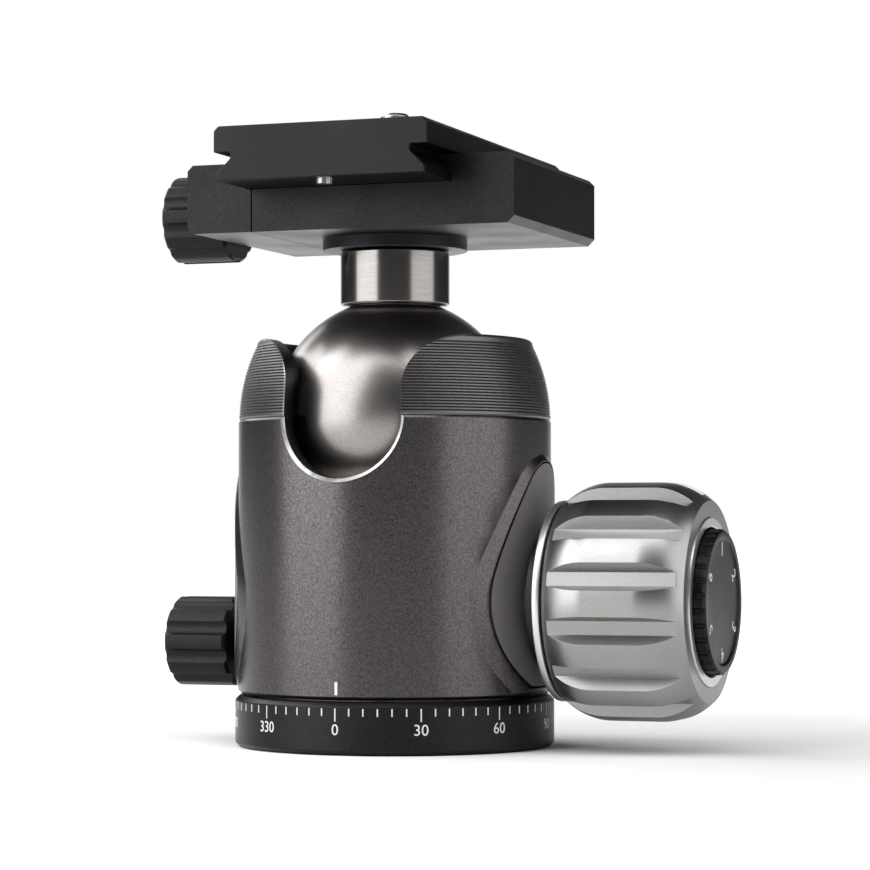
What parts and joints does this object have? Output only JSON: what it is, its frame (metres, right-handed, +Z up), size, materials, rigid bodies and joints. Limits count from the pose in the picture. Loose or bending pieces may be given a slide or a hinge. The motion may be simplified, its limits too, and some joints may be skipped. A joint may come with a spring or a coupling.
{
  "type": "tripod ball head",
  "caption": "Full-size tripod ball head with panning base, drop notch, lock knob with friction dial, pan lock, dovetail clamp and quick-release plate.",
  "frame": {"origin": "centre of the tripod thread's mouth, in the plane of the base's underside", "axes": "+Z up along the pan axis, +X out along the main lock knob, -Y out of the drop notch"},
  "size_m": [0.1034, 0.072, 0.1133],
  "materials": {
    "housing_anodised": "fine sandblasted dark grey anodising",
    "collar_anodised": "turned ribs, dark grey anodising",
    "black_anodised": "satin black anodising",
    "satin_titanium": "satin titanium-coloured anodising on turned aluminium",
    "satin_silver": "bead-blasted clear anodised aluminium",
    "bright_aluminium": "bright cut aluminium",
    "steel": "turned steel",
    "black_steel": "black oxide steel",
    "brass": "turned brass",
    "white_acetal": "machined acetal",
    "black_acetal": "machined black acetal",
    "black_nylon": "moulded glass-filled nylon",
    "grip_rubber": "matt ribbed rubber",
    "level_vial": "clear acrylic vial with green liquid"
  },
  "bodies": {
    "base": {"base_plate": "black_anodised", "thread_insert": "brass", "spindle": "steel", "spindle_screws": "black_steel", "pan_washer": "white_acetal", "pan_ring": "steel"},
    "housing": {"housing": "housing_anodised", "pan_bush": "white_acetal", "thrust_plate": "steel", "collar": "collar_anodised", "seat_ring": "black_acetal", "cover_right": "collar_anodised", "cover_left": "collar_anodised", "lock_bushing": "black_steel", "pan_bushing": "black_steel"},
    "wedge": {"wedge": "steel"},
    "ball_cup": {"ball_cup": "white_acetal"},
    "lock_knob": {"lock_screw": "steel", "knob_ring": "bright_aluminium", "knob_hub": "black_nylon", "knob_shell": "satin_silver", "knob_bezel": "bright_aluminium"},
    "friction_dial": {"friction_dial": "black_anodised", "friction_screw": "steel"},
    "friction_pin": {"friction_pin": "brass", "friction_spring": "steel"},
    "brake_pad": {"brake_pad": "brass"},
    "pan_knob": {"pan_screw": "steel", "pan_knob": "black_anodised", "pan_knob_cap": "satin_silver"},
    "ball_liner": {"ball_liner": "white_acetal"},
    "ball": {"ball": "satin_titanium", "stem_sleeve": "satin_titanium", "neck_screw": "black_steel"},
    "clamp": {"clamp_body": "black_anodised", "jaw_springs": "steel", "bubble_level": "level_vial"},
    "clamp_jaw": {"clamp_jaw": "black_anodised", "guide_pins": "steel"},
    "clamp_knob": {"clamp_screw": "steel", "clamp_knob": "black_anodised", "clamp_knob_cap": "satin_silver"},
    "plate": {"quick_plate": "black_anodised", "plate_pads": "grip_rubber", "plate_stops": "steel"},
    "camera_screw": {"camera_screw": "steel"}
  },
  "joints": [
    {"name": "base_pan", "type": "hinge", "parent": "base", "child": "housing", "pos_m": [0, 0, 0], "axis": [0, 0, 1], "continuous": true},
    {"name": "wedge_slide", "type": "slide", "parent": "housing", "child": "wedge", "axis": [1, 0, 0], "range_m": [0, 0.00125]},
    {"name": "lock_knob_turn", "type": "hinge", "parent": "wedge", "child": "lock_knob", "pos_m": [0, 0, 0.026], "axis": [1, 0, 0], "range_deg": [0, 360.1]},
    {"name": "cup_lift", "type": "slide", "parent": "housing", "child": "ball_cup", "axis": [0, 0, 1], "range_m": [-0.000251, 0]},
    {"name": "friction_dial_turn", "type": "hinge", "parent": "lock_knob", "child": "friction_dial", "pos_m": [0.055, 0, 0.026], "axis": [1, 0, 0], "range_deg": [-300, 0]},
    {"name": "friction_pin_slide", "type": "slide", "parent": "lock_knob", "child": "friction_pin", "axis": [1, 0, 0], "range_m": [-0.00041666, 0]},
    {"name": "brake_pad_slide", "type": "slide", "parent": "housing", "child": "brake_pad", "axis": [-1, 0, 0], "range_m": [0, 0.001]},
    {"name": "pan_knob_turn", "type": "hinge", "parent": "brake_pad", "child": "pan_knob", "pos_m": [-0.03, 0, 0.0182], "axis": [-1, 0, 0], "range_deg": [0, 360.1]},
    {"name": "side_tilt", "type": "hinge", "parent": "housing", "child": "ball_liner", "pos_m": [0, 0, 0.058], "axis": [0, 1, 0], "range_deg": [-22, 22]},
    {"name": "drop_tilt", "type": "hinge", "parent": "ball_liner", "child": "ball", "pos_m": [0, 0, 0.058], "axis": [1, 0, 0], "range_deg": [-22, 90]},
    {"name": "ball_spin", "type": "hinge", "parent": "ball", "child": "clamp", "pos_m": [0, 0, 0.088], "axis": [0, 0, 1], "continuous": true},
    {"name": "jaw_slide", "type": "slide", "parent": "clamp", "child": "clamp_jaw", "axis": [-1, 0, 0], "range_m": [0, 0.003]},
    {"name": "clamp_knob_turn", "type": "hinge", "parent": "clamp_jaw", "child": "clamp_knob", "pos_m": [-0.031, 0, 0.0955], "axis": [-1, 0, 0], "range_deg": [0, 1080.1]},
    {"name": "plate_slide", "type": "slide", "parent": "clamp", "child": "plate", "axis": [0, 1, 0], "range_m": [-0.009, 0.009]},
    {"name": "camera_screw_turn", "type": "hinge", "parent": "plate", "child": "camera_screw", "pos_m": [0, 0, 0.1], "axis": [0, 0, 1], "continuous": true}
  ],
  "couplings": [
    {"joint": "lock_knob_turn", "follows": "wedge_slide", "rad_per_m": 5026.5},
    {"joint": "cup_lift", "follows": "wedge_slide", "ratio": -0.2},
    {"joint": "friction_dial_turn", "follows": "friction_pin_slide", "rad_per_m": 12566},
    {"joint": "pan_knob_turn", "follows": "brake_pad_slide", "rad_per_m": 6283.2},
    {"joint": "clamp_knob_turn", "follows": "jaw_slide", "rad_per_m": 6283.2}
  ]
}
